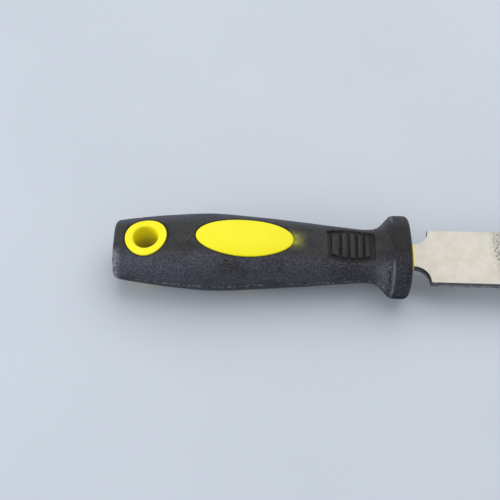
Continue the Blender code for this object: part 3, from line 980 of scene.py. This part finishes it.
def make_blade(face_material, edge_material):
    far = tang_outline(0, SHOULDER)[:2]
    far += arc(SHOULDER - NOTCH, NECK_HALF + NOTCH, NOTCH, -90, 0)
    far.append((SHOULDER, BLADE_HALF))
    near = [(s, -y) for s, y in far]
    far.append((slanted(BLADE_HALF) + UNDER_GRIT, BLADE_HALF))
    near.append((slanted(-BLADE_HALF) + UNDER_GRIT, -BLADE_HALF))
    outline = far + near[::-1]
    work = loft([[(s, y, z) for s, y in outline] for z in (-BLADE_HALF_THICK, BLADE_HALF_THICK)])
    rim = [e for e in work.edges if abs(e.verts[0].co.z - e.verts[1].co.z) < 1e-7]
    bmesh.ops.bevel(work, geom=rim, offset=BLADE_BEVEL * MM, segments=2, profile=0.5, affect="EDGES")
    blade = new_piece("steel_blade", work, [])
    half = BLADE_HALF - SEAT_INSET
    thick = BLADE_HALF_THICK - SEAT_INSET
    back = GRIT_START - SEAT_OVERLAP
    front = TIP - SEAT_SHORT
    seat = [(back, half), (front, half), (front, -half), (back, -half)]
    combine(blade, "UNION", helper("seat", loft([[(s, y, z) for s, y in seat] for z in (-thick, thick)])))
    blade.data.materials.append(face_material)
    blade.data.materials.append(edge_material)
    for polygon in blade.data.polygons:
        polygon.material_index = 1 if abs(polygon.normal.z) < 0.4 else 0
    blade.data.shade_smooth()
    blade.data.set_sharp_from_angle(angle=math.radians(30))
    return blade


def belt():
    """Unit points round the blade's rectangular section."""
    points = []
    for k in range(GRIT_ACROSS):
        points.append((1 - 2 * k / GRIT_ACROSS, 1.0))
    for k in range(GRIT_EDGE):
        points.append((-1.0, 1 - 2 * k / GRIT_EDGE))
    for k in range(GRIT_ACROSS):
        points.append((-1 + 2 * k / GRIT_ACROSS, -1.0))
    for k in range(GRIT_EDGE):
        points.append((1.0, -1 + 2 * k / GRIT_EDGE))
    return np.array(points)


def add_grain(work, random, centre, side_z):
    """Small crushed crystal, set into the blade's face."""
    size = random.uniform(*GRAIN_SIZE)
    turn = random.uniform(0, np.pi)
    ring = []
    for k in range(GRAIN_SIDES):
        angle = turn + 2 * np.pi * k / GRAIN_SIDES
        reach = size * random.uniform(0.7, 1.3)
        ring.append((centre[0] + reach * math.cos(angle), centre[1] + reach * math.sin(angle)))
    low = side_z * (BLADE_HALF_THICK - 0.03)
    high = side_z * (BLADE_HALF_THICK + min(size, 0.14))
    base = [work.verts.new(p) for p in to_frame([(s, y, low) for s, y in ring])]
    top = work.verts.new(to_frame((centre[0], centre[1], high)))
    work.faces.new(base)
    for k in range(GRAIN_SIDES):
        work.faces.new((base[k], base[(k + 1) % GRAIN_SIDES], top))


def make_grit(material):
    """Ragged belt of plating round the blade, with loose grains scattered before its start."""
    random = np.random.default_rng(GRIT_SEED)
    unit = belt()
    count = len(unit)
    half = BLADE_HALF + GRIT_PROUD - GRIT_SUNK
    thick = BLADE_HALF_THICK + GRIT_PROUD - GRIT_SUNK
    end = TIP - GRIT_END_GAP
    ragged = 0.5 * np.convolve(random.normal(size=count + 8), np.ones(5) / 5, "same")[:count]
    start = slanted(unit[:, 0] * half) + ragged
    rings = []
    for i, t in enumerate(np.linspace(0, 1, GRIT_ALONG)):
        grow = min(1.0, i / 3)
        s = start + (end - TIP_CORNER - start) * t
        y = unit[:, 0] * (BLADE_HALF + 0.02 + (half - BLADE_HALF) * grow)
        z = unit[:, 1] * (BLADE_HALF_THICK + 0.02 + (thick - BLADE_HALF_THICK) * grow)
        rings.append(np.stack([s, y, z], -1))
    for angle in quarter_turn(9)[1:]:
        s = end - TIP_CORNER * (1 - math.sin(angle))
        y = unit[:, 0] * (half - TIP_CORNER * (1 - math.cos(angle)))
        rings.append(np.stack([np.full(count, s), y, unit[:, 1] * thick], -1))
    for share in (0.97, 0.7, 0.4, 0.1):
        y = unit[:, 0] * (half - TIP_CORNER) * (0.9 + 0.1 * share)
        rings.append(np.stack([np.full(count, end), y, unit[:, 1] * thick * share], -1))
    bumps = random.uniform(*GRIT_BUMPS, (len(rings), count, 3))
    bumps[:2] = 0
    work = loft(np.array(rings) + bumps)
    for side_z in (1, -1):
        for _ in range(GRAINS_PER_FACE):
            y = random.uniform(-BLADE_HALF + 0.3, BLADE_HALF - 0.3)
            before = 0.1 + random.exponential(1.1)
            add_grain(work, random, (slanted(y) - before, y), side_z)
    return new_piece("grit_coat", work, [material], smooth=False)


# ---------------------------------------------------------------- the object

def make_object():
    grip = make_grip(make_black_rubber())
    core = make_core(make_yellow_plastic())
    blade = make_blade(make_ground_steel(), make_edge_steel())
    grit = make_grit(make_grit_layer())
    for piece, node, slot in (
        (grip, "grip_overmould", "black_soft_plastic"),
        (core, "handle_core", "yellow_plastic"),
        (blade, "blade", "ground_steel"),
        (grit, "diamond_coating", "diamond_grit"),
    ):
        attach(piece, "root")
        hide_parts(node)


# ---------------------------------------------------------------- floor, lights, camera

def make_floor():
    work = bmesh.new()
    size = FLOOR_HALF
    corners = [(-size, -size), (size, -size), (size, size), (-size, size)]
    work.faces.new([work.verts.new((x, y, -FLOOR_DROP)) for x, y in corners])
    new_piece("floor", work, [make_floor_paint()])


def add_area(name, place, size, power, color):
    """Square soft light that points at the object."""
    light = bpy.data.lights.new(name, "AREA")
    light.shape = "SQUARE"
    light.size = size
    light.energy = power
    light.color = color
    lamp = bpy.data.objects.new(name, light)
    lamp.location = place
    lamp.rotation_euler = (-Vector(place)).to_track_quat("-Z", "Y").to_euler()
    bpy.context.scene.collection.objects.link(lamp)


def make_light():
    add_area("key", *KEY_LIGHT)
    add_area("window", *WINDOW_LIGHT)
    world = bpy.data.worlds.new("studio")
    world.use_nodes = True
    background = world.node_tree.nodes["Background"]
    background.inputs["Color"].default_value = SKY_COLOR
    background.inputs["Strength"].default_value = SKY_STRENGTH
    bpy.context.scene.world = world
    bpy.context.scene.view_settings.view_transform = "Standard"


def make_camera():
    camera = bpy.data.cameras.new("camera")
    camera.lens = CAMERA_LENS
    camera.sensor_width = CAMERA_SENSOR
    camera.clip_start = CAMERA_NEAR
    place = Vector(CAMERA_PLACE)
    target = Vector(CAMERA_TARGET)
    roll = math.radians(CAMERA_ROLL)
    back = (place - target).normalized()
    right = Vector((0, 0, 1)).cross(back).normalized()
    up = back.cross(right)
    turned_right = right * math.cos(roll) + up * math.sin(roll)
    turned_up = up * math.cos(roll) - right * math.sin(roll)
    camera_object = bpy.data.objects.new("camera", camera)
    matrix = Matrix((turned_right, turned_up, back)).transposed().to_4x4()
    matrix.translation = place
    camera_object.matrix_world = matrix
    bpy.context.scene.collection.objects.link(camera_object)
    bpy.context.scene.camera = camera_object


make_object()
make_floor()
make_light()
make_camera()
